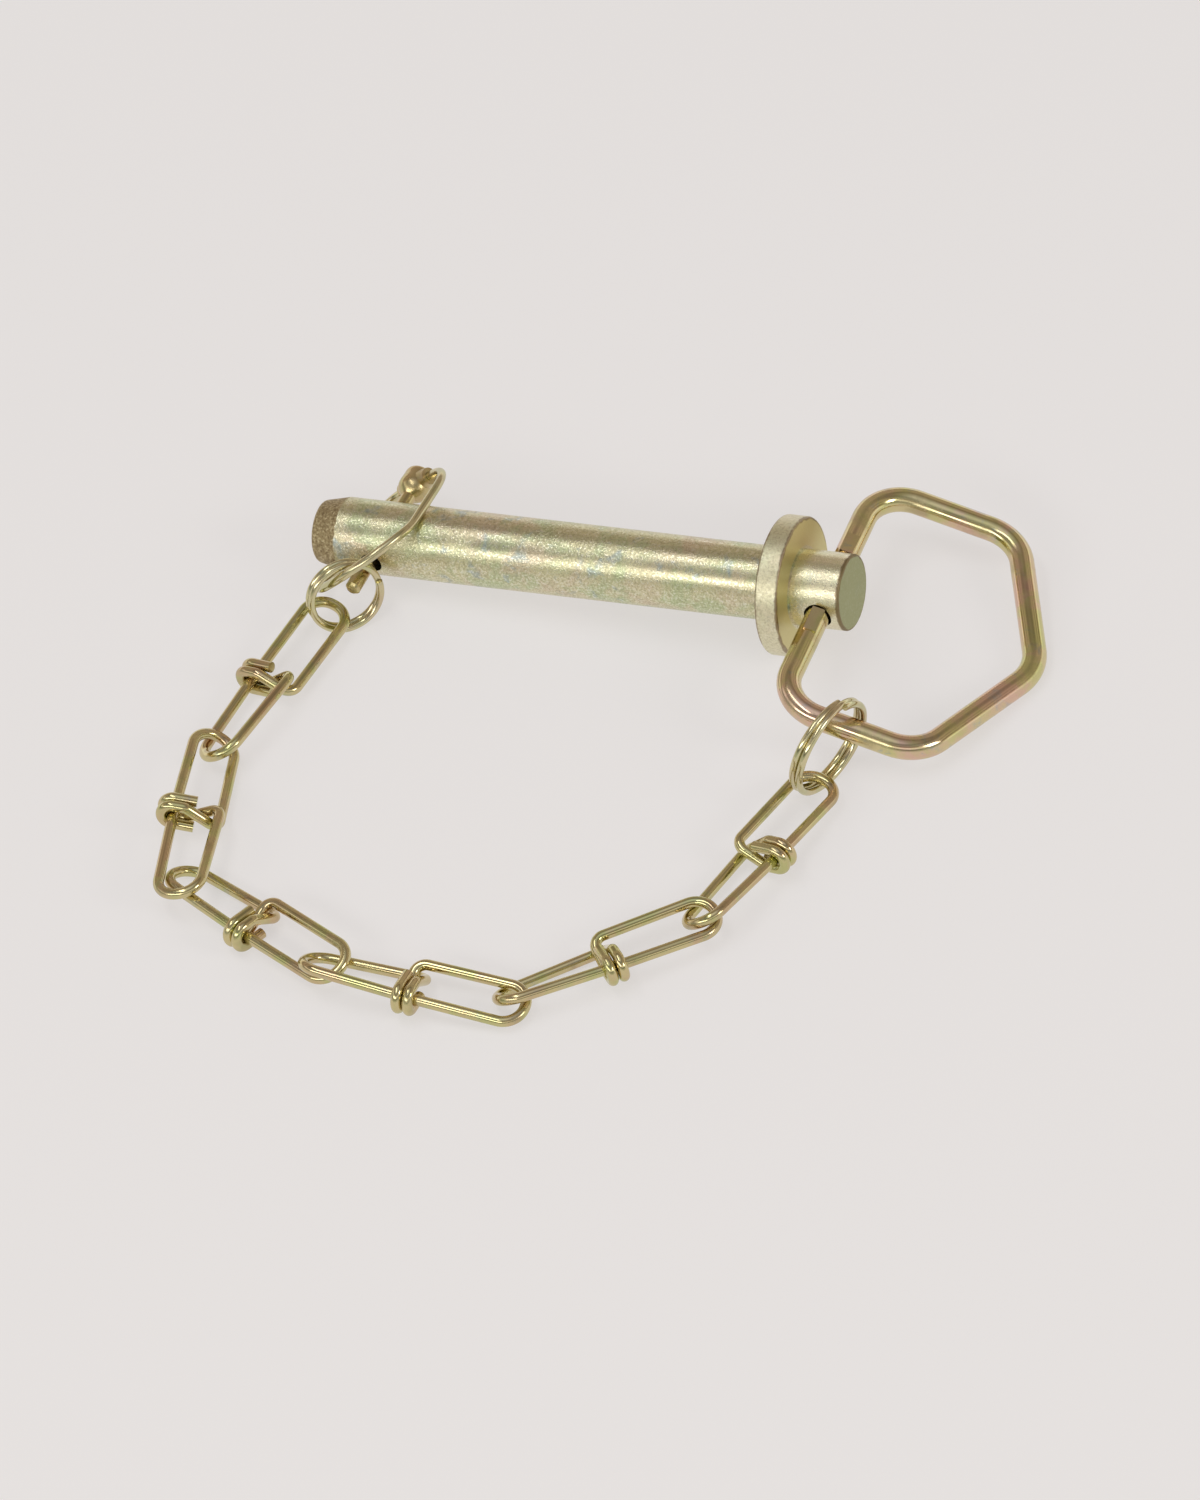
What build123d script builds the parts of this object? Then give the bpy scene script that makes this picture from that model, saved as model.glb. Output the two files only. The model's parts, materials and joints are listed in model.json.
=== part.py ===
from build123d import *
import math
import os

# Hitch pin with a draw-bar handle, a linch pin with its bail, and the knotted
# chain that keeps the linch pin with the hitch pin. Millimetres, +Z up.
# The origin is the middle of the collar's underside, on the axis of the pin.
# +X runs along the pin towards its head, and the pin lies on its collar and
# on the strand of the bail that is under its tip.

os.makedirs("parts", exist_ok=True)

# ---- driving dimensions -------------------------------------------------
# hitch pin
shank_d = 19.0
collar_d = 35.8
collar_t = 6.15
collar_round = 0.7
boss_d = 19.6
boss_length = 13.5
boss_edge = 0.6
boss_foot = 0.8
grip_length = 109.0          # collar's underside to the linch pin's hole
tip_length = 16.9            # linch pin's hole to the end of the tip
taper_length = 7.0
taper_end_d = 15.8
tip_round = 1.2

# linch pin
linch_d = 4.0
linch_hole_play = 0.9        # all round
linch_yaw = 4.6              # how far it lies askew in its hole
linch_tip_reach = 19.3       # from the pin's axis to the tip
linch_tip_chamfer = 0.6
linch_head_start = 15.2      # from the pin's axis to the head's neck
linch_head_d = 8.4
linch_neck_length = 2.6
linch_crown_length = 3.0     # length of the head's round end
linch_head_length = 8.9
bail_pivot_at = 5.2          # head's neck to the bail's pivot
linch_boss_d = 6.4           # cone at each side of the head, round the bail's end
linch_boss_end_d = 4.6
linch_boss_reach = 5.8       # from the linch pin's axis to the cone's end

# bail
bail_wire = 2.3
bail_half_width = 16.4       # from its middle to a strand's middle
bail_length = 41.7           # pivot to the middle of the far end
bail_near_radius = 10.0
bail_far_play = 0.3          # half width less the far corners' radius
bail_bend_at = 24.3          # pivot to the bend of the strands
bail_bend = 13.6             # degrees that the far part is bent up
bail_bend_radius = 16.0
bail_pivot_play = 0.06
bail_end_inset = 2.6         # from the linch pin's axis to the wire's end
bail_slant = 40.0            # turn of the pivot from the hitch pin's axis
bail_swing = 1.2

# handle
handle_wire = 6.3
handle_hole_play = 0.5       # all round
handle_at = 7.45             # collar's outer face to the pivot
handle_half_width = 39.0
handle_side_reach = 38.0     # pivot to the bends at the ends of the sides
handle_nose_reach = 56.3     # pivot to the point of the nose
handle_nose_cut = 1.4        # what the nose's bend takes off its point
handle_corner_radius = 11.0
handle_bend_radius = 12.0
handle_nose_radius = 14.0
handle_end_gap = 1.6         # between the two ends of the rod in the hole
handle_shift = -1.75         # sideways play taken up as it lies
ear_gap = 0.5                # boss to ear
ear_width = 8.4
ear_length = 7.0
ear_t = 3.3
ear_lip = 0.2                # ear's end past the rod, each side

# split rings
ring_turn_gap = 0.1
ring_bend_share = 0.985      # of a ring's radius, so that the bends at its corners don't quite meet
ring_a_d = 20.4
ring_a_wire = 1.8
ring_a_at = 2.7              # bail's middle to the ring, along the far end
ring_a_bail_play = 0.5
ring_a_link_play = 0.63
ring_b_d = 27.4
ring_b_wire = 1.9
ring_b_at = 18.9             # handle's pivot to the ring, along the side
ring_b_handle_play = 0.9
ring_b_link_play = 0.6

# chain
link_wire = 2.8
link_length = 58.7           # between the middles of the two end bends
link_width = 11.2            # between the legs' middles at the end bends
link_waist = 12.6            # between the legs' middles at the knot
link_waist_radius = 60.0
link_twist = 42.0            # from one loop's plane to the other's
knot_gap = 0.2
knot_tail = 5.5              # leg's end past the straight wire
knot_radius = 2.0            # where a leg turns under the straight wire
leg_radius = 3.0             # where the knot runs out into the leg
wrap_bend_share = 0.97       # of the wrap's radius, so that its two bends don't quite meet
loop_bend_share = 0.485      # of the link's width, so that an end's two bends don't quite meet
link_slack = 2.7             # lengthwise, between two links pulled straight

# ---- lie on the table -----------------------------------------------------
shank_r = shank_d / 2
collar_r = collar_d / 2
linch_r = linch_d / 2
link_r = link_wire / 2
lie_tilt = 3.0
floor_z = -collar_r * math.cos(math.radians(lie_tilt))

axis_dir = Vector(math.cos(math.radians(lie_tilt)), 0, math.sin(math.radians(lie_tilt)))
pin_side = Plane(origin=(0, 0, 0), x_dir=axis_dir, z_dir=(0, -1, 0))
pin_axis = Axis((0, 0, 0), axis_dir)


def on_pin(along, up=0.0, side=0.0):
    """A point in the pin's own frame: along its axis, up from it and to the side (+Y)."""
    spot = pin_side.from_local_coords(Vector(along, up, 0))
    return Vector(spot.X, side, spot.Z)


# ---- helpers --------------------------------------------------------------
def bent_wire(points, radii, wire_d):
    """A round wire along straight runs joined by bends, one radius for each inner point."""
    with BuildPart() as wire:
        with BuildLine() as route:
            FilletPolyline(*points, radius=radii)
        start = Plane(origin=route.line @ 0, z_dir=route.line % 0)
        with BuildSketch(start):
            Circle(wire_d / 2)
        sweep(path=route.line)
    return wire.part


# ---- hitch pin ------------------------------------------------------------
handle_along = collar_t + handle_at
tip_end = -grip_length - tip_length
boss_end = collar_t + boss_length

with BuildPart() as pin:
    with BuildSketch(pin_side) as outline:
        with BuildLine():
            Polyline(
                (tip_end, 0),
                (tip_end, taper_end_d / 2),
                (tip_end + taper_length, shank_r),
                (0, shank_r),
                (0, collar_r),
                (collar_t, collar_r),
                (collar_t, boss_d / 2),
                (boss_end, boss_d / 2),
                (boss_end, 0),
                close=True,
            )
        make_face()
    revolve(axis=pin_axis)
    rims = pin.edges().filter_by(GeomType.CIRCLE)
    fillet(rims.filter_by(lambda e: abs(e.radius - collar_r) < 0.01), collar_round)
    ends = pin.edges().filter_by(GeomType.CIRCLE).sort_by(pin_axis)
    fillet(ends[0], tip_round)
    fillet(ends[-1], boss_edge)
    with Locations(Plane(origin=on_pin(-grip_length), z_dir=(0, 1, 0))):
        Cylinder(linch_r + linch_hole_play, 2 * collar_d, mode=Mode.SUBTRACT)
    with Locations(Plane(origin=on_pin(handle_along), z_dir=(0, 1, 0))):
        Cylinder(handle_wire / 2 + handle_hole_play, 2 * collar_d, mode=Mode.SUBTRACT)
pin.part.label = "pin"
export_step(pin.part, "parts/pin.step")

# ---- linch pin --------------------------------------------------------------
yaw = math.radians(linch_yaw)
slant = math.radians(bail_slant)
linch_centre = on_pin(-grip_length)
linch_dir = Vector(0, math.cos(yaw), 0) + axis_dir * math.sin(yaw)
across = axis_dir * math.cos(yaw) - Vector(0, math.sin(yaw), 0)
pivot_dir = across * math.cos(slant) + pin_side.y_dir * math.sin(slant)
pivot_side = linch_head_start + bail_pivot_at
pivot_point = linch_centre + linch_dir * pivot_side
linch_side = Plane(origin=linch_centre, x_dir=linch_dir, z_dir=pivot_dir)
linch_axis = Axis(linch_centre, linch_dir)
head_r = linch_head_d / 2
head_end = linch_head_start + linch_head_length
neck_end = linch_head_start + linch_neck_length

with BuildPart() as linch_pin:
    with BuildSketch(linch_side):
        with BuildLine():
            Polyline(
                (head_end, 0),
                (-linch_tip_reach, 0),
                (-linch_tip_reach, linch_r - linch_tip_chamfer),
                (-linch_tip_reach + linch_tip_chamfer, linch_r),
                (linch_head_start, linch_r),
            )
            Spline(
                (linch_head_start, linch_r),
                (neck_end, head_r - 0.15),
                (head_end - linch_crown_length, head_r - 0.1),
                (head_end, 0),
                tangents=[(0.8, 1), (0, -1)],
            )
        make_face()
    revolve(axis=linch_axis)
    for way in (1, -1):
        with Locations(
            Plane(
                origin=pivot_point + pivot_dir * (way * linch_boss_reach / 2),
                z_dir=pivot_dir * way,
            )
        ):
            Cone(linch_boss_d / 2, linch_boss_end_d / 2, linch_boss_reach)
    with Locations(Plane(origin=pivot_point, z_dir=pivot_dir)):
        Cylinder(bail_wire / 2 + bail_pivot_play, 2 * linch_head_d, mode=Mode.SUBTRACT)
linch_pin.part.label = "linch_pin"
export_step(linch_pin.part, "parts/linch_pin.step")

# ---- bail -----------------------------------------------------------------
swing = math.radians(bail_swing)
lift_dir = pivot_dir.cross(linch_dir)
reach_dir = lift_dir * math.sin(swing) - linch_dir * math.cos(swing)
rise_dir = reach_dir.cross(pivot_dir)
bail_rise = (bail_length - bail_bend_at) * math.tan(math.radians(bail_bend))
far_radius = bail_half_width - bail_far_play
bail_side = [
    (bail_end_inset, 0, 0),
    (bail_half_width, 0, 0),
    (bail_half_width, bail_bend_at, 0),
    (bail_half_width, bail_length, bail_rise),
]
other_side = [(-x, y, z) for x, y, z in reversed(bail_side)]


def bail_spot(aside, reach, rise):
    """A point in the bail's own frame: along its pivot, out along its strands and up from them."""
    return pivot_point + pivot_dir * aside + reach_dir * reach + rise_dir * rise


bail_bends = [bail_near_radius, bail_bend_radius, far_radius]
bail_part = bent_wire(
    [bail_spot(*spot) for spot in bail_side + other_side],
    bail_bends + bail_bends[::-1],
    bail_wire,
)
bail_part.label = "bail"
export_step(bail_part, "parts/bail.step")

# ---- handle ---------------------------------------------------------------
pivot = on_pin(handle_along)
nose_mid = handle_nose_reach - handle_nose_cut
droop = math.degrees(math.asin((pivot.Z - floor_z - handle_wire / 2) / nose_mid))
handle_plane = Plane(
    origin=pivot + Vector(0, handle_shift, 0),
    x_dir=(0, 1, 0),
    z_dir=(-math.sin(math.radians(droop)), 0, -math.cos(math.radians(droop))),
)
inner = handle_end_gap / 2
handle_route = [
    (inner, 0),
    (handle_half_width, 0),
    (handle_half_width, handle_side_reach),
    (0, handle_nose_reach),
    (-handle_half_width, handle_side_reach),
    (-handle_half_width, 0),
    (-inner, 0),
]
ear_start = boss_d / 2 + ear_gap
with BuildPart() as handle:
    with BuildLine() as route:
        FilletPolyline(
            *[handle_plane.from_local_coords(Vector(x, y, 0)) for x, y in handle_route],
            radius=[
                handle_corner_radius,
                handle_bend_radius,
                handle_nose_radius,
                handle_bend_radius,
                handle_corner_radius,
            ],
        )
    with BuildSketch(Plane(origin=route.line @ 0, z_dir=route.line % 0)):
        Circle(handle_wire / 2)
    sweep(path=route.line)
    with BuildSketch(Plane(origin=pivot, x_dir=(0, 1, 0), z_dir=handle_plane.y_dir)):
        for way in (1, -1):
            with BuildLine():
                Polyline(
                    (way * ear_start, -ear_width / 2),
                    (way * ear_start, ear_width / 2),
                    (way * (ear_start + ear_length), handle_wire / 2 + ear_lip),
                    (way * (ear_start + ear_length), -handle_wire / 2 - ear_lip),
                    close=True,
                )
            make_face()
    extrude(amount=ear_t / 2, both=True)
handle.part.label = "handle"
export_step(handle.part, "parts/handle.step")


# ---- split rings ------------------------------------------------------------
def split_ring(label, centre, facing, opening, outer_d, wire_d):
    """Two flat turns of wire side by side with a step between them, seen along facing."""
    seat = Plane(origin=centre, x_dir=opening, z_dir=facing)
    side = (outer_d - wire_d) / 2
    step = (wire_d + ring_turn_gap) / 2
    corners = [(1, 1), (-1, 1), (-1, -1), (1, -1)]
    points = [(side, 0.0, -step)]
    for layer in (-step, step):
        points += [(side * x, side * y, layer) for x, y in corners]
    points.append((side, 0.0, step))
    ring = bent_wire(
        [seat.from_local_coords(Vector(*p)) for p in points],
        [side * ring_bend_share] * (len(points) - 2),
        wire_d,
    )
    ring.label = label
    export_step(ring, f"parts/{label}.step")


def ring_hold(ring_d, ring_wire, held_wire, play):
    """From a ring's middle to the middle of a wire held inside it."""
    return (ring_d - ring_wire) / 2 - (ring_wire + held_wire) / 2 - play


# Which way each ring hangs from its wire, faces and holds the chain's end bend. Most of these
# are rounded figures from numerical fits made outside this file, some adjusted after them, and
# not chosen by hand. The hang and link directions are multiplied by a ring's hold.
ring_a_hang = Vector(-0.045, 0.167, -1.095)
ring_a_facing = (0.633, -0.696, 0.158)
ring_a_opening = (0.7, 0.7, 0.1)
ring_a_to_link = Vector(-0.659, 0.105, -0.779)
ring_b_hang = Vector(-0.332, -0.942, 0.058)
ring_b_facing = (0.921, -0.335, -0.199)
ring_b_opening = (0.3, 0.3, 0.9)
ring_b_to_link = Vector(-0.15, -0.314, -0.938)

# each ring hangs on its wire by one side and holds the end bend of the chain by another
bail_far = bail_spot(ring_a_at, bail_length, bail_rise)
ring_a_hold = ring_hold(ring_a_d, ring_a_wire, bail_wire, ring_a_bail_play)
ring_a_mid = bail_far + ring_a_hang * ring_a_hold
handle_spot = handle_plane.from_local_coords(Vector(-handle_half_width, ring_b_at, 0))
ring_b_hold = ring_hold(ring_b_d, ring_b_wire, handle_wire, ring_b_handle_play)
ring_b_mid = handle_spot + ring_b_hang * ring_b_hold
split_ring("ring_a", ring_a_mid, ring_a_facing, ring_a_opening, ring_a_d, ring_a_wire)
split_ring("ring_b", ring_b_mid, ring_b_facing, ring_b_opening, ring_b_d, ring_b_wire)

# ---- chain ------------------------------------------------------------------
half_twist = math.radians(link_twist / 2)
leg_y = link_width / 2 * math.cos(half_twist)
leg_z = link_width / 2 * math.sin(half_twist)
waist_y = link_waist / 2 * math.cos(half_twist)
waist_z = link_waist / 2 * math.sin(half_twist)
wrap_r = link_wire + knot_gap
knot_x = (link_wire + knot_gap) / 2
apex = link_length / 2
knot_height = wrap_r + link_r
bite = 2 * link_wire + link_slack


def link_points():
    """Half of a link's wire, from its knot's cut end to the end bend; a half turn about Y gives the rest."""
    return [
        (knot_x, knot_tail - waist_y, -wrap_r),
        (knot_x, -waist_y - wrap_r, -wrap_r),
        (knot_x, -waist_y - wrap_r, wrap_r),
        (knot_x, -waist_y + wrap_r, wrap_r),
        (knot_x, waist_y, -waist_z),
        (-apex, leg_y, -leg_z),
        (-apex, -leg_y, leg_z),
    ]


def chain_link(label, centre, heading, rise, lean):
    """A link of one wire: two loops, each leg's end wrapped round the straight leg in the middle."""
    level = Plane(origin=centre)
    seat = level.rotated((lean, -rise, heading), Extrinsic.XYZ)
    first = link_points()
    second = [(-x, y, -z) for x, y, z in reversed(first)]
    bends = [wrap_r * wrap_bend_share] * 2 + [knot_radius, leg_radius] + [link_width * loop_bend_share] * 2
    link = bent_wire(
        [seat.from_local_coords(Vector(*p)) for p in first + [(0, -waist_y, 0)] + second],
        bends + [link_waist_radius] + bends[::-1],
        link_wire,
    )
    link.label = label
    export_step(link, f"parts/{label}.step")


def ahead(heading):
    """A level step of one millimetre along a heading."""
    return Vector(math.cos(math.radians(heading)), math.sin(math.radians(heading)), 0)


def bearing(step):
    """The heading of a level step."""
    return math.degrees(math.atan2(step.Y, step.X))


def corner(side, other, opposite):
    """A triangle's angle between two sides."""
    return math.degrees(math.acos((side**2 + other**2 - opposite**2) / (2 * side * other)))


# how the links lie from ring_a to ring_b: heading, rise and lean, height off the
# table, and how far the next link has slipped from a taut chain, ahead and to the left.
# These are rounded figures from a numerical fit made outside this file, some adjusted after it.
lies = [
    (-101.4, -0.2, 8.6, 0.92, 1.2, -1.1),
    (-78.9, 3.3, -12.9, 2.4, -5.5, 0.7),
    (-24.4, 1.5, -4.7, 0.13, -0.1, -2.4),
    (-0.7, -3.3, -11.4, 0.75, 0.1, 3.1),
    (40.8, 1.9, -12.6, 0.98, 1.2, 0.2),
    (76.4, -2.7, -10.7, 1.45, 0.0, 0.0),
]
starts = [Vector(0, 0, 0)]
for lie, following in zip(lies, lies[1:]):
    heading, slip_ahead, slip_left = lie[0], lie[4], lie[5]
    along = ahead(heading) * (link_length - bite / 2 + slip_ahead)
    aside = ahead(heading + 90) * slip_left
    starts.append(starts[-1] + along + aside - ahead(following[0]) * (bite / 2))
chain_end = starts[-1] + ahead(lies[-1][0]) * link_length

# the two halves of the chain swing to meet, as two sides of a triangle on the rings
ring_a_link = ring_a_mid + ring_a_to_link * ring_hold(
    ring_a_d, ring_a_wire, link_wire, ring_a_link_play
)
ring_b_link = ring_b_mid + ring_b_to_link * ring_hold(
    ring_b_d, ring_b_wire, link_wire, ring_b_link_play
)
base = Vector(ring_b_link.X - ring_a_link.X, ring_b_link.Y - ring_a_link.Y, 0)
half_1 = starts[3]
half_2 = chain_end - starts[3]
turn_1 = bearing(base) - corner(base.length, half_1.length, half_2.length) - bearing(half_1)
turn_2 = bearing(base) + corner(base.length, half_2.length, half_1.length) - bearing(half_2)
meeting = ring_a_link + half_1.rotate(Axis.Z, turn_1)
for number, (lie, start) in enumerate(zip(lies, starts), start=1):
    heading, rise, lean, height = lie[:4]
    if number <= 3:
        turn = turn_1
        bend_mid = ring_a_link + start.rotate(Axis.Z, turn)
    else:
        turn = turn_2
        bend_mid = meeting + (start - half_1).rotate(Axis.Z, turn)
    middle = bend_mid + ahead(heading + turn) * apex
    middle.Z = floor_z + knot_height + height
    chain_link(f"link_{number}", middle, heading + turn, rise, lean)
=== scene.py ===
import json
import math
import bpy
from mathutils import Matrix, Vector


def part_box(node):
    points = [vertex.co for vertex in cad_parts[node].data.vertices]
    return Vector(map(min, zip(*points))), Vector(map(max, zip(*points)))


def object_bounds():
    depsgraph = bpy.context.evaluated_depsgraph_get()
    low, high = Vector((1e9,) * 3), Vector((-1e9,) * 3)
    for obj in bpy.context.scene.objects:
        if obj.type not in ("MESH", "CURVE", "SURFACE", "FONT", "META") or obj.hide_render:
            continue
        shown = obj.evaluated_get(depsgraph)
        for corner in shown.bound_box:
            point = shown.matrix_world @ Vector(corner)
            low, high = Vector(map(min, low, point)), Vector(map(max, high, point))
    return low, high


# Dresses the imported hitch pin: yellow zinc plating on the turned pin, the bent handle, the
# linch pin with its bail, the two split rings and the six knotted links. Metres, +Z up.

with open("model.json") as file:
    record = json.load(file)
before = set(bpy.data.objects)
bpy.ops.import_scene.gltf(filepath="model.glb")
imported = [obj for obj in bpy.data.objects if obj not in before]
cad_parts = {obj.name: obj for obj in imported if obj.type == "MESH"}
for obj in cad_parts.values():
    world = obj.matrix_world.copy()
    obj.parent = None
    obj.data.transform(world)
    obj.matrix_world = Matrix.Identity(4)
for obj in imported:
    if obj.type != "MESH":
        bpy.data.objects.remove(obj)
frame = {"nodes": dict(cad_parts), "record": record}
cad_box = [list(corner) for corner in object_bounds()]

MM = 0.001
node_object = frame["nodes"]
record = frame["record"]
floor_height = cad_box[0][2]


# ---- the pin's own axis, for finishes that change along it and out from it ----------------
shank = next(m for m in record["mounts"] if m["name"] == "shank")
pin_axis = -Vector(shank["axis"])
pin_tilt = math.asin(pin_axis.z)
pin_low, pin_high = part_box("pin")
collar_radius = (pin_high.y - pin_low.y) / 2
end_corner_reach = 0.4 * MM  # the tilted end face's corner reaches this far past its middle
pin_end = pin_high.x / pin_axis.x - end_corner_reach
taper_start = -118.9 * MM
collar_thickness = 6.15 * MM
boss_radius = 9.8 * MM


# ---- node helpers ------------------------------------------------------------------------
def add_node(tree, kind, spot=(0, 0), **settings):
    """A shader node with its settings, and its sockets set by their names."""
    node = tree.nodes.new(kind)
    node.location = (spot[0] * 200, spot[1] * -160)
    sockets = settings.pop("sockets", {})
    for name, value in settings.items():
        setattr(node, name, value)
    for name, value in sockets.items():
        node.inputs[name].default_value = value
    return node


def join(tree, start, end):
    tree.links.new(start, end)


def number(tree, operation, spot, *terms, clamp=False):
    """A Math node on sockets or plain numbers, and its value."""
    node = add_node(tree, "ShaderNodeMath", spot, operation=operation, use_clamp=clamp)
    for index, term in enumerate(terms):
        if isinstance(term, (int, float)):
            node.inputs[index].default_value = term
        else:
            join(tree, term, node.inputs[index])
    return node.outputs[0]


def ease(tree, spot, value, low, high, to_low=0.0, to_high=1.0):
    """A smooth step of a value from one figure to another."""
    node = add_node(tree, "ShaderNodeMapRange", spot, interpolation_type="SMOOTHSTEP")
    join(tree, value, node.inputs["Value"])
    node.inputs["From Min"].default_value = low
    node.inputs["From Max"].default_value = high
    node.inputs["To Min"].default_value = to_low
    node.inputs["To Max"].default_value = to_high
    return node.outputs["Result"]


def near(tree, spot, value, edge, start, finish, to_low=0.0, to_high=1.0):
    """An ease between two distances from an edge, both in millimetres."""
    return ease(tree, spot, value, edge + start * MM, edge + finish * MM, to_low, to_high)


def product(tree, spot, first, second):
    return number(tree, "MULTIPLY", spot, first, second)


def blend_colour(tree, spot, share, first, second):
    """One colour into another by a share from 0 to 1."""
    node = add_node(tree, "ShaderNodeMix", spot, data_type="RGBA")
    sockets = (node.inputs[0], node.inputs[6], node.inputs[7])
    for socket, term in zip(sockets, (share, first, second)):
        if isinstance(term, (int, float)):
            socket.default_value = term
        elif isinstance(term, tuple):
            socket.default_value = (*term, 1)
        else:
            join(tree, term, socket)
    return node.outputs[2]


def new_group(name, inputs, outputs):
    """An empty shader node group with named sockets."""
    tree = bpy.data.node_groups.new(name, "ShaderNodeTree")
    kinds = {"vector": "NodeSocketVector", "number": "NodeSocketFloat", "colour": "NodeSocketColor"}
    for socket, kind in inputs:
        tree.interface.new_socket(socket, in_out="INPUT", socket_type=kinds[kind])
    for socket, kind in outputs:
        tree.interface.new_socket(socket, in_out="OUTPUT", socket_type=kinds[kind])
    entry = add_node(tree, "NodeGroupInput", (-6, 0))
    finish = add_node(tree, "NodeGroupOutput", (6, 0))
    return tree, entry.outputs, finish.inputs


# ---- effects that the finishes share -----------------------------------------------------
def build_plating_bloom():
    """The drift of yellow zinc from straw to rose, green and blue."""
    tree, given, result = new_group(
        "plating_bloom",
        [("Vector", "vector"), ("Patch Scale", "number"), ("Straw", "colour"), ("Rose", "colour"),
         ("Green", "colour"), ("Blue", "colour"), ("Rose Share", "number"), ("Green Share", "number"),
         ("Blue Share", "number")],
        [("Colour", "colour")],
    )
    # each tint: its share's socket, how much finer its patches are, and where its noise sets in and is full
    tints = [
        ("Rose Share", 1.0, 0.44, 0.66),
        ("Green Share", 1.7, 0.46, 0.64),
        ("Blue Share", 3.1, 0.56, 0.70),
    ]
    shares = []
    for row, (share, factor, low, high) in enumerate(tints):
        scale = number(tree, "MULTIPLY", (-5, row * 2), given["Patch Scale"], factor)
        patches = add_node(
            tree, "ShaderNodeTexNoise", (-4, row * 2), noise_dimensions="4D",
            sockets={"W": 3.7 * row + 1.3, "Detail": 4.0, "Roughness": 0.62, "Distortion": 0.6},
        )
        join(tree, given["Vector"], patches.inputs["Vector"])
        join(tree, scale, patches.inputs["Scale"])
        mask = ease(tree, (-2, row * 2), patches.outputs["Fac"], low, high)
        shares.append(number(tree, "MULTIPLY", (-1, row * 2), mask, given[share]))
    colour = given["Straw"]
    for step, (share, tint) in enumerate(zip(shares, ("Rose", "Green", "Blue"))):
        colour = blend_colour(tree, (step + 1, 1), share, colour, given[tint])
    join(tree, colour, result["Colour"])
    return tree


def build_grit():
    """Fine roughness of a blasted or turned skin: a height, and masks of its crests and its pits, where the
    pin's finish lays painted glints and painted shade.
    """
    tree, given, result = new_group(
        "grit", [("Vector", "vector"), ("Grain Scale", "number")],
        [("Height", "number"), ("Crests", "number"), ("Pits", "number")],
    )
    grain = add_node(tree, "ShaderNodeTexNoise", (-3, 0), sockets={"Detail": 3.0, "Roughness": 0.68})
    join(tree, given["Vector"], grain.inputs["Vector"])
    join(tree, given["Grain Scale"], grain.inputs["Scale"])
    join(tree, grain.outputs["Fac"], result["Height"])
    join(tree, ease(tree, (0, 1), grain.outputs["Fac"], 0.50, 0.64), result["Crests"])
    join(tree, ease(tree, (0, 3), grain.outputs["Fac"], 0.36, 0.50, 1, 0), result["Pits"])
    return tree


def build_turning_marks():
    """Fine rings left by the lathe along the pin's axis, which is the vector's X."""
    tree, given, result = new_group(
        "turning_marks", [("Vector", "vector"), ("Pitch Scale", "number")], [("Height", "number")]
    )
    apart = add_node(tree, "ShaderNodeSeparateXYZ", (-3, 0))
    join(tree, given["Vector"], apart.inputs[0])
    lathe = add_node(
        tree, "ShaderNodeTexNoise", (-1, 0), noise_dimensions="1D",
        sockets={"Detail": 4.0, "Roughness": 0.75},
    )
    join(tree, apart.outputs["X"], lathe.inputs["W"])
    join(tree, given["Pitch Scale"], lathe.inputs["Scale"])
    join(tree, lathe.outputs["Fac"], result["Height"])
    return tree


plating_bloom = build_plating_bloom()
grit = build_grit()
turning_marks = build_turning_marks()


def use_group(tree, group, spot, vector, **values):
    """A group placed in a finish, with its own values."""
    node = add_node(tree, "ShaderNodeGroup", spot, node_tree=group)
    join(tree, vector, node.inputs["Vector"])
    for name, value in values.items():
        socket = node.inputs[name.replace("_", " ")]
        socket.default_value = (*value, 1) if isinstance(value, tuple) else value
    return node


def new_finish(name):
    """A metal finish with nothing linked yet, and the coordinates it works on."""
    material = bpy.data.materials.new(name)
    material.use_nodes = True
    tree = material.node_tree
    skin = tree.nodes["Principled BSDF"]
    skin.inputs["Metallic"].default_value = 1.0
    place = add_node(tree, "ShaderNodeTexCoord", (-14, 0)).outputs["Object"]
    return material, tree, skin, place


def raise_skin(tree, skin, spot, height, depth):
    """A bump on the finish, its depth in metres."""
    bump = add_node(tree, "ShaderNodeBump", spot, sockets={"Distance": depth, "Strength": 1.0})
    join(tree, height, bump.inputs["Height"])
    join(tree, bump.outputs["Normal"], skin.inputs["Normal"])


# ---- finishes ----------------------------------------------------------------------------
# the colours laid over the pin's plating, in the order in which they go on; the glint colours are painted
# highlights on the grain's crests, the pit colours painted shade in its pits, and the pale boss colour a
# painted highlight where the boss faces the lamps
# painted glint: a pale colour on the shank grain's crests
painted_glint = (0.95, 0.93, 0.80)
# painted shade: a dark colour in the shank grain's pits
painted_pit_shade = (0.34, 0.31, 0.20)
# painted highlight: the boss is paler where it faces the lamps
painted_boss_highlight = (0.92, 0.87, 0.64)
rim_pale = (0.86, 0.81, 0.60)
# painted shade: a dark colour in the blasted rim's pits
painted_rim_pit_shade = (0.50, 0.45, 0.28)
face_gold = (0.72, 0.64, 0.31)
end_olive = (0.36, 0.38, 0.19)
tip_brown = (0.42, 0.33, 0.18)
# painted glint: a pale colour on the blasted tip's crests
painted_tip_glint = (0.78, 0.68, 0.44)
# painted shade: a dark colour in the blasted tip's pits
painted_tip_pit_shade = (0.19, 0.13, 0.07)
rubbed_brown = (0.22, 0.13, 0.07)

edge_stray = 1.3 * MM  # how far the borders between the pin's finishes wander
skin_depth = 0.05 * MM
wire_depth = 0.005 * MM


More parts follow.
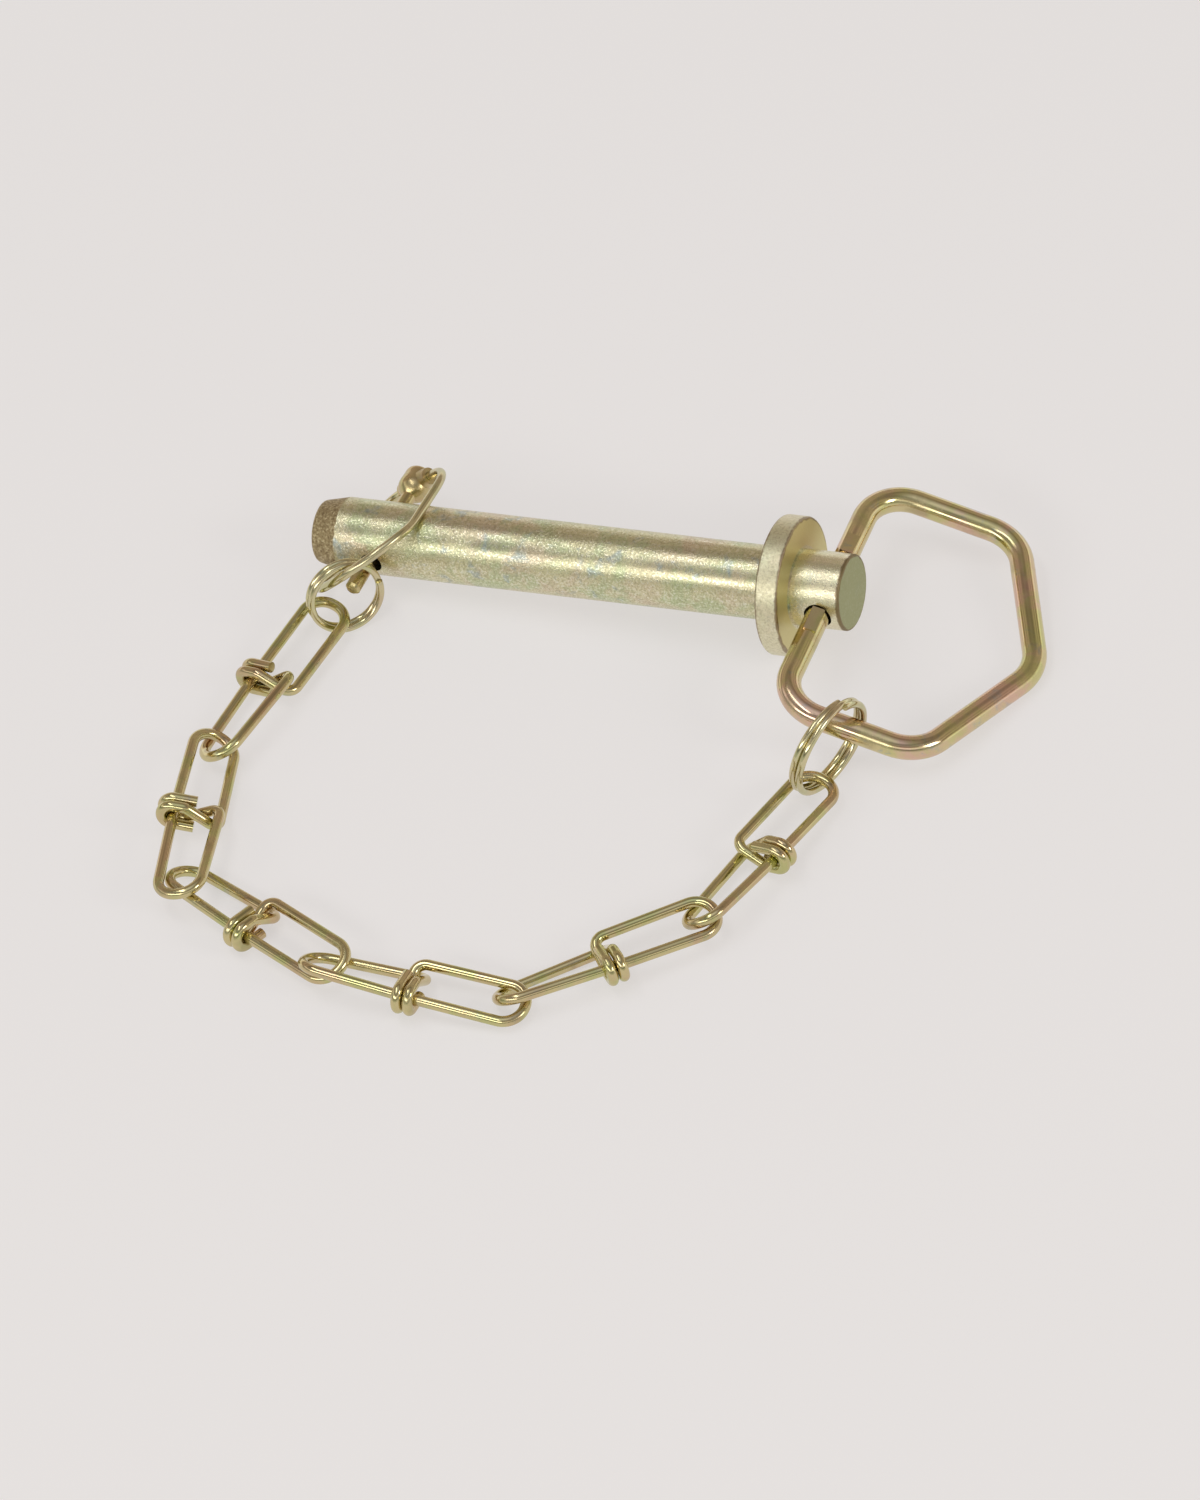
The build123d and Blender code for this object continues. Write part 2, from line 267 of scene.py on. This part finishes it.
def pin_places(tree, place):
    """The pin's own coordinates, and masks for its tip, collar, rim, end face and rubbed edges."""
    level = add_node(tree, "ShaderNodeMapping", (-13, 0), vector_type="POINT")
    level.inputs["Rotation"].default_value = (0, pin_tilt, 0)
    join(tree, place, level.inputs["Vector"])
    spot = level.outputs["Vector"]
    apart = add_node(tree, "ShaderNodeSeparateXYZ", (-12, 0))
    join(tree, spot, apart.inputs[0])
    along = apart.outputs["X"]
    side_square = product(tree, (-11, 1), apart.outputs["Y"], apart.outputs["Y"])
    up_square = product(tree, (-11, 2), apart.outputs["Z"], apart.outputs["Z"])
    out = number(tree, "SQRT", (-9, 1), number(tree, "ADD", (-10, 1), side_square, up_square))
    ragged = add_node(tree, "ShaderNodeTexNoise", (-10, 4), sockets={"Scale": 420.0, "Detail": 4.0})
    join(tree, spot, ragged.inputs["Vector"])
    stray = number(tree, "MULTIPLY_ADD", (-9, 4), ragged.outputs["Fac"], edge_stray, -edge_stray / 2)
    along_rough = number(tree, "ADD", (-8, 3), along, stray)
    out_rough = number(tree, "ADD", (-8, 2), out, stray)

    half_collar = collar_thickness / 2
    from_rim_middle = number(
        tree, "ABSOLUTE", (-6, 5), number(tree, "SUBTRACT", (-7, 5), along_rough, half_collar)
    )
    rim_edge = product(
        tree, (-4, 5),
        near(tree, (-5, 5), from_rim_middle, half_collar, -0.75, -0.3),
        near(tree, (-5, 6), out_rough, collar_radius, -0.9, -0.5),
    )
    end_edge = product(
        tree, (-4, 7),
        near(tree, (-5, 7), along_rough, pin_end, -1.1, -0.8),
        near(tree, (-5, 8), out_rough, boss_radius, -0.75, -0.5),
    )
    masks = {
        "tip": near(tree, (-7, 0), along_rough, taper_start, -0.3, 0.3, 1, 0),
        "collar": product(
            tree, (-6, 1), near(tree, (-7, 1), along, 0.0, -0.6, 0.0),
            near(tree, (-7, 2), out, boss_radius, 0.4, 1.2),
        ),
        "rim": near(tree, (-7, 3), out_rough, collar_radius, -0.5, -0.25),
        "end": near(tree, (-7, 4), along_rough, pin_end, -0.9, -0.5),
        "rubbed": number(tree, "MAXIMUM", (-3, 6), rim_edge, end_edge),
    }
    return spot, along, masks


def pin_colour(tree, spot, along, masks, sparkle, blast):
    """The plating, then the tints of each part of the pin over it, with painted glints on the grain's
    crests, painted shade in its pits and a painted highlight on the boss.
    """
    bloom = use_group(
        tree, plating_bloom, (-6, -3), spot, Patch_Scale=55.0, Straw=(0.71, 0.67, 0.42),
        Rose=(0.72, 0.55, 0.43), Green=(0.50, 0.61, 0.34), Blue=(0.35, 0.46, 0.52),
        Rose_Share=0.55, Green_Share=0.65, Blue_Share=0.65,
    )
    # painted highlight: up to half the boss's colour is paled, where it faces the lamps
    boss_highlight_share = near(tree, (-5, -1), along, collar_thickness, 0.0, 0.8, 0.0, 0.5)
    # painted shade: the mask of the rim grain's pits
    rim_pit_shade_mask = product(tree, (-5, -7), blast.outputs["Pits"], masks["rim"])
    off_rim = number(tree, "SUBTRACT", (-5, -2), 1, masks["rim"])
    # painted glints on the tip grain's crests, and painted shade in its pits
    tip_glint_mask = product(tree, (-1, -5), blast.outputs["Crests"], masks["tip"])
    tip_pit_shade_mask = product(tree, (-1, -6), blast.outputs["Pits"], masks["tip"])
    layers = [
        # painted glints on the shank grain's crests, then painted shade in its pits
        (product(tree, (-6, -4), sparkle.outputs["Crests"], 0.55), painted_glint),
        (product(tree, (-5, -5), sparkle.outputs["Pits"], 0.5), painted_pit_shade),
        # painted highlight on the boss
        (boss_highlight_share, painted_boss_highlight),
        (product(tree, (-5, -3), masks["rim"], 0.6), rim_pale),
        # painted shade in the rim's pits
        (product(tree, (-4, -7), rim_pit_shade_mask, 0.5), painted_rim_pit_shade),
        (product(tree, (-4, -2), masks["collar"], off_rim), face_gold),
        (product(tree, (-3, -2), masks["end"], 0.9), end_olive),
        (masks["tip"], tip_brown),
        # painted glints, then painted shade, on the tip's grain
        (product(tree, (0, -5), tip_glint_mask, 0.6), painted_tip_glint),
        (product(tree, (1, -6), tip_pit_shade_mask, 0.6), painted_tip_pit_shade),
        (product(tree, (2, -5), masks["rubbed"], 0.7), rubbed_brown),
    ]
    colour = bloom.outputs["Colour"]
    for step, (share, tint) in enumerate(layers):
        colour = blend_colour(tree, (step - 5, -3), share, colour, tint)
    return colour


def pin_height(tree, spot, along, masks, sparkle, blast):
    """The skin's relief: sparkle that drifts and fades to the head, lathe marks, and the blasted parts."""
    lathe = use_group(tree, turning_marks, (-6, -7), spot, Pitch_Scale=1400.0)
    drift = add_node(tree, "ShaderNodeTexNoise", (-5, 8), sockets={"Scale": 60.0, "Detail": 3.0})
    join(tree, spot, drift.inputs["Vector"])
    coarse = product(
        tree, (-3, 8), ease(tree, (-4, 8), drift.outputs["Fac"], 0.38, 0.62, 0.7, 2.4),
        near(tree, (-4, 9), along, 0.0, -100, -10, 1.2, 0.6),
    )
    blasted = number(tree, "MAXIMUM", (-2, 3), masks["tip"], product(tree, (-3, 3), masks["rim"], 0.5))
    turned_skin = number(
        tree, "ADD", (-1, 4), product(tree, (-2, 4), sparkle.outputs["Height"], coarse),
        product(tree, (-2, 5), lathe.outputs["Height"], 0.10),
    )
    blasted_skin = product(tree, (-1, 5), product(tree, (-2, 6), blast.outputs["Height"], 4.0), blasted)
    return number(tree, "ADD", (0, 4), turned_skin, blasted_skin)


def pin_finish():
    """The forged and turned pin: sparkling shank, blasted tip, rough collar rim, plain end face, with
    painted glints and painted pit shade on its grain.
    """
    material, tree, skin, place = new_finish("yellow_zinc_pin")
    spot, along, masks = pin_places(tree, place)
    sparkle = use_group(tree, grit, (-6, -5), spot, Grain_Scale=1750.0)
    blast = use_group(tree, grit, (-6, -6), spot, Grain_Scale=1350.0)
    join(tree, pin_colour(tree, spot, along, masks, sparkle, blast), skin.inputs["Base Color"])

    bright = number(tree, "MULTIPLY_ADD", (-3, -1), sparkle.outputs["Crests"], -0.10, 0.32)
    dull = number(tree, "MAXIMUM", (-2, 0), masks["tip"], product(tree, (-3, 0), masks["end"], 0.7))
    dull = number(tree, "MAXIMUM", (-1, 0), dull, product(tree, (-2, 1), masks["collar"], 0.35))
    rough = number(tree, "MULTIPLY_ADD", (1, -1), dull, 0.24, bright, clamp=True)
    join(tree, rough, skin.inputs["Roughness"])
    raise_skin(tree, skin, (1, 4), pin_height(tree, spot, along, masks, sparkle, blast), skin_depth)
    return material


def wire_finish(name, tints, shares, patch, roughness, grain):
    """Bent rod or wire: smooth and bright, its tint drifting in patches, darker where it is worn."""
    material, tree, skin, place = new_finish(name)
    straw, rose, green, blue = tints
    bloom = use_group(
        tree, plating_bloom, (-6, 0), place, Patch_Scale=patch, Straw=straw, Rose=rose, Green=green,
        Blue=blue, Rose_Share=shares[0], Green_Share=shares[1], Blue_Share=shares[2],
    )
    nicks = use_group(tree, grit, (-6, 3), place, Grain_Scale=grain)
    worn = add_node(tree, "ShaderNodeTexNoise", (-6, 6), sockets={"Scale": 130.0, "Detail": 3.0})
    join(tree, place, worn.inputs["Vector"])
    worn_straw = tuple(0.55 * part for part in straw)
    worn_share = ease(tree, (-4, 6), worn.outputs["Fac"], 0.54, 0.74, 0.0, 0.45)
    colour = blend_colour(tree, (-3, 0), worn_share, bloom.outputs["Colour"], worn_straw)
    join(tree, colour, skin.inputs["Base Color"])
    rough = ease(tree, (-3, 3), worn.outputs["Fac"], 0.35, 0.7, roughness - 0.05, roughness + 0.12)
    join(tree, rough, skin.inputs["Roughness"])
    raise_skin(tree, skin, (-2, 5), nicks.outputs["Height"], wire_depth)
    return material


def dress():
    """Each piece gets its finish: tints of straw, rose, green and blue, and shares of the last three."""
    rod = wire_finish(
        "yellow_zinc_rod",
        tints=[(0.70, 0.60, 0.33), (0.74, 0.49, 0.39), (0.58, 0.61, 0.23), (0.34, 0.44, 0.50)],
        shares=(0.9, 0.6, 0.45), patch=60.0, roughness=0.15, grain=1500.0,
    )
    turned = wire_finish(
        "yellow_zinc_linch_pin",
        tints=[(0.62, 0.50, 0.26), (0.58, 0.36, 0.24), (0.52, 0.54, 0.24), (0.34, 0.42, 0.44)],
        shares=(0.6, 0.5, 0.3), patch=110.0, roughness=0.24, grain=1300.0,
    )
    link_wire = wire_finish(
        "yellow_zinc_link_wire",
        tints=[(0.65, 0.56, 0.30), (0.58, 0.38, 0.26), (0.52, 0.55, 0.23), (0.32, 0.42, 0.41)],
        shares=(0.6, 0.7, 0.3), patch=70.0, roughness=0.14, grain=1600.0,
    )
    ring_wire = wire_finish(
        "yellow_zinc_ring_wire",
        tints=[(0.68, 0.61, 0.37), (0.58, 0.43, 0.31), (0.53, 0.56, 0.30), (0.40, 0.47, 0.45)],
        shares=(0.5, 0.5, 0.2), patch=90.0, roughness=0.15, grain=1700.0,
    )
    finishes = {"pin": pin_finish(), "handle": rod, "linch_pin": turned, "bail": ring_wire}
    for name, piece in node_object.items():
        if name.startswith("link_"):
            finish = link_wire
        elif name.startswith("ring_"):
            finish = ring_wire
        else:
            finish = finishes[name]
        piece.data.materials.clear()
        piece.data.materials.append(finish)


# ---- floor, light and camera -------------------------------------------------------------
def seen_rays(tree, spot):
    """1 for what the camera sees, straight, in a reflection or through glass."""
    path = add_node(tree, "ShaderNodeLightPath", spot)
    column, row = spot
    straight, glossy = path.outputs["Is Camera Ray"], path.outputs["Is Glossy Ray"]
    seen = number(tree, "MAXIMUM", (column + 1, row), straight, glossy)
    return number(tree, "MAXIMUM", (column + 2, row), seen, path.outputs["Is Transmission Ray"])


def lay_floor():
    """A plain pale floor that keeps the soft shadow."""
    bpy.ops.object.select_all(action="DESELECT")
    bpy.ops.mesh.primitive_plane_add(size=16.0, location=(0, 0, floor_height))
    floor = bpy.context.object
    floor.name = "floor"
    material = bpy.data.materials.new("pale_floor")
    material.use_nodes = True
    tree = material.node_tree
    tree.nodes.clear()
    pale = (0.768, 0.746, 0.742, 1)
    matt = add_node(tree, "ShaderNodeBsdfDiffuse", (-2, 0), sockets={"Color": pale})
    glow = add_node(tree, "ShaderNodeEmission", (-2, 2), sockets={"Color": pale, "Strength": 1.27})
    shown = add_node(tree, "ShaderNodeMixShader", (-1, 1), sockets={"Fac": 0.55})
    join(tree, matt.outputs[0], shown.inputs[1])
    join(tree, glow.outputs[0], shown.inputs[2])
    either = add_node(tree, "ShaderNodeMixShader", (1, 0))
    join(tree, seen_rays(tree, (-5, 3)), either.inputs[0])
    join(tree, matt.outputs[0], either.inputs[1])
    join(tree, shown.outputs[0], either.inputs[2])
    finish = add_node(tree, "ShaderNodeOutputMaterial", (2, 0))
    join(tree, either.outputs[0], finish.inputs["Surface"])
    floor.data.materials.append(material)


def light_studio():
    """A banded room, dark between its lit strips so that bright metal shows its form, and soft lamps."""
    # a strip is its height, from 0 at the horizon to 1 overhead, its level and its tint
    world = bpy.data.worlds.new("studio")
    bpy.context.scene.world = world
    world.use_nodes = True
    tree = world.node_tree
    room = tree.nodes["Background"]
    ways = add_node(tree, "ShaderNodeTexCoord", (-7, 0))
    apart = add_node(tree, "ShaderNodeSeparateXYZ", (-6, 0))
    join(tree, ways.outputs["Generated"], apart.inputs[0])
    warm, cool = (1.0, 0.84, 0.68), (0.94, 0.95, 1.0)
    leaf, plain = (0.95, 1.0, 0.84), (1.0, 0.98, 0.95)
    near_side = [
        (0.00, 0.50, plain), (0.11, 0.62, leaf), (0.21, 0.36, leaf), (0.30, 0.03, warm),
        (0.38, 0.68, plain), (0.48, 1.35, plain), (0.57, 0.75, warm), (0.66, 0.04, warm),
        (0.75, 0.55, plain), (0.84, 0.10, leaf), (0.92, 0.55, cool), (1.00, 0.90, cool),
    ]
    far_side = [
        (0.00, 1.30, plain), (0.09, 1.25, plain), (0.17, 0.90, warm), (0.27, 0.42, warm),
        (0.37, 0.10, warm), (0.47, 0.78, warm), (0.57, 0.14, warm), (0.67, 0.66, warm),
        (0.78, 0.12, warm), (0.88, 0.34, warm), (0.95, 0.45, cool), (1.00, 0.75, cool),
    ]
    sides = []
    for row, strips in enumerate((near_side, far_side)):
        bands = add_node(tree, "ShaderNodeValToRGB", (-4, 3 * row))
        bands.color_ramp.interpolation = "B_SPLINE"
        stops = bands.color_ramp.elements
        while len(stops) < len(strips):
            stops.new(0.5)
        for stop, (height, level, tint) in zip(stops, strips):
            stop.position = height
            stop.color = (*(level * part for part in tint), 1)
        join(tree, apart.outputs["Z"], bands.inputs["Fac"])
        sides.append(bands.outputs["Color"])
    share = ease(tree, (-3, -2), apart.outputs["Y"], -0.12, 0.16)
    join(tree, blend_colour(tree, (-2, 0), share, *sides), room.inputs["Color"])
    # a lamp is its name, place, width, height and power
    boxes = [
        ("front_softbox", (-0.45, -1.45, 0.85), 1.5, 0.32, 4.4),
        ("top_softbox", (-0.45, -0.34, 1.7), 1.4, 0.26, 3.8),
        ("side_softbox", (1.5, -0.25, 0.8), 0.5, 0.5, 4.0),
    ]
    middle = Vector((-0.03, -0.05, 0))
    for name, spot, width, tall, power in boxes:
        lamp = bpy.data.lights.new(name, "AREA")
        lamp.shape = "RECTANGLE"
        lamp.size = width
        lamp.size_y = tall
        lamp.energy = power
        lamp.color = (1, 0.99, 0.97)
        box = bpy.data.objects.new(name, lamp)
        box.location = spot
        box.rotation_euler = (middle - Vector(spot)).to_track_quat("-Z", "Y").to_euler()
        bpy.context.scene.collection.objects.link(box)


def set_camera():
    """The camera's place from what it looks at, its bearing, height and roll.

    These figures are from a numerical fit made outside this script.
    """
    aim = Vector((-0.02527, -0.06523, 0.0))
    bearing = math.radians(27.75)
    height = math.radians(44.515)
    roll = math.radians(-11.182)
    distance = 4.2315
    turn = Matrix.Rotation(bearing, 4, "Z") @ Matrix.Rotation(math.pi / 2 - height, 4, "X")
    turn = turn @ Matrix.Rotation(roll, 4, "Z")
    lens = bpy.data.cameras.new("camera")
    lens.sensor_fit = "VERTICAL"
    lens.sensor_height = 36.0
    lens.lens = 405.48
    lens.clip_end = 30.0
    camera = bpy.data.objects.new("camera", lens)
    camera.matrix_world = Matrix.Translation(aim + turn.to_3x3() @ Vector((0, 0, distance))) @ turn
    bpy.context.scene.collection.objects.link(camera)
    bpy.context.scene.camera = camera


dress()
lay_floor()
light_studio()
set_camera()
bpy.context.scene.view_settings.view_transform = "Standard"
